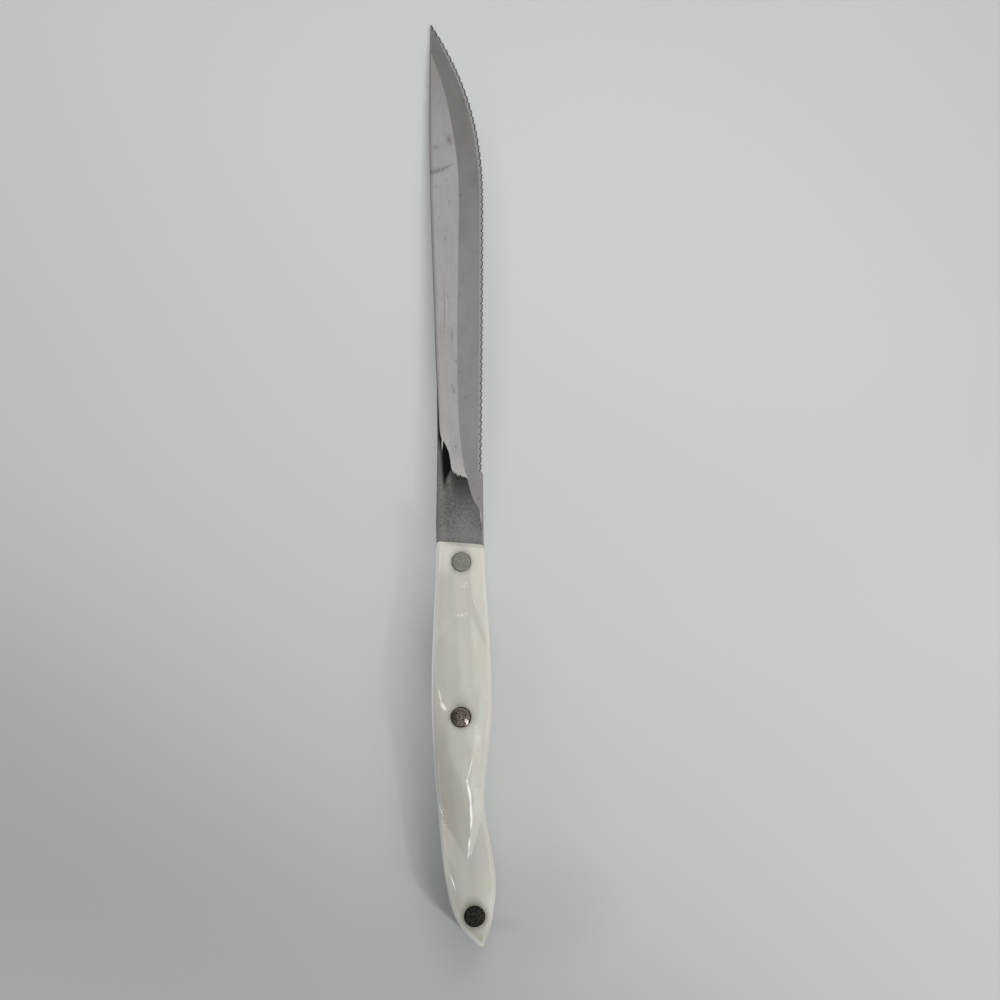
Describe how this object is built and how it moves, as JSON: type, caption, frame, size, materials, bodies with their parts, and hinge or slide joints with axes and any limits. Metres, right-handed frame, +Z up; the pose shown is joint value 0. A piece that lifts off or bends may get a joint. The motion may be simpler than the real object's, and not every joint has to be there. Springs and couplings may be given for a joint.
{
  "type": "trimming knife",
  "caption": "Slim kitchen trimming knife: scalloped blade with a straight spine and rising belly, full tang between pearl resin scales with a faceted palm swell, held by flush rivets.",
  "frame": {"origin": "under the middle of the knife as it lies on its side, level with the lower scale's flat centre panel", "axes": "+Y along the spine towards the tip, +X across the blade towards the cutting edge, +Z up, square to the blade's flats"},
  "size_m": [0.0204, 0.3054, 0.016],
  "materials": {
    "steel": "satin, ground lengthwise",
    "pearl_resin": "polished, pearly",
    "nickel_silver": "worn and tarnished"
  },
  "bodies": {
    "root": {"blade": "steel", "right_scale": "pearl_resin", "left_scale": "pearl_resin", "front_rivet_pin": "nickel_silver", "front_rivet_sleeve": "nickel_silver", "middle_rivet_pin": "nickel_silver", "middle_rivet_sleeve": "nickel_silver", "rear_rivet_pin": "nickel_silver", "rear_rivet_sleeve": "nickel_silver"}
  },
  "joints": []
}
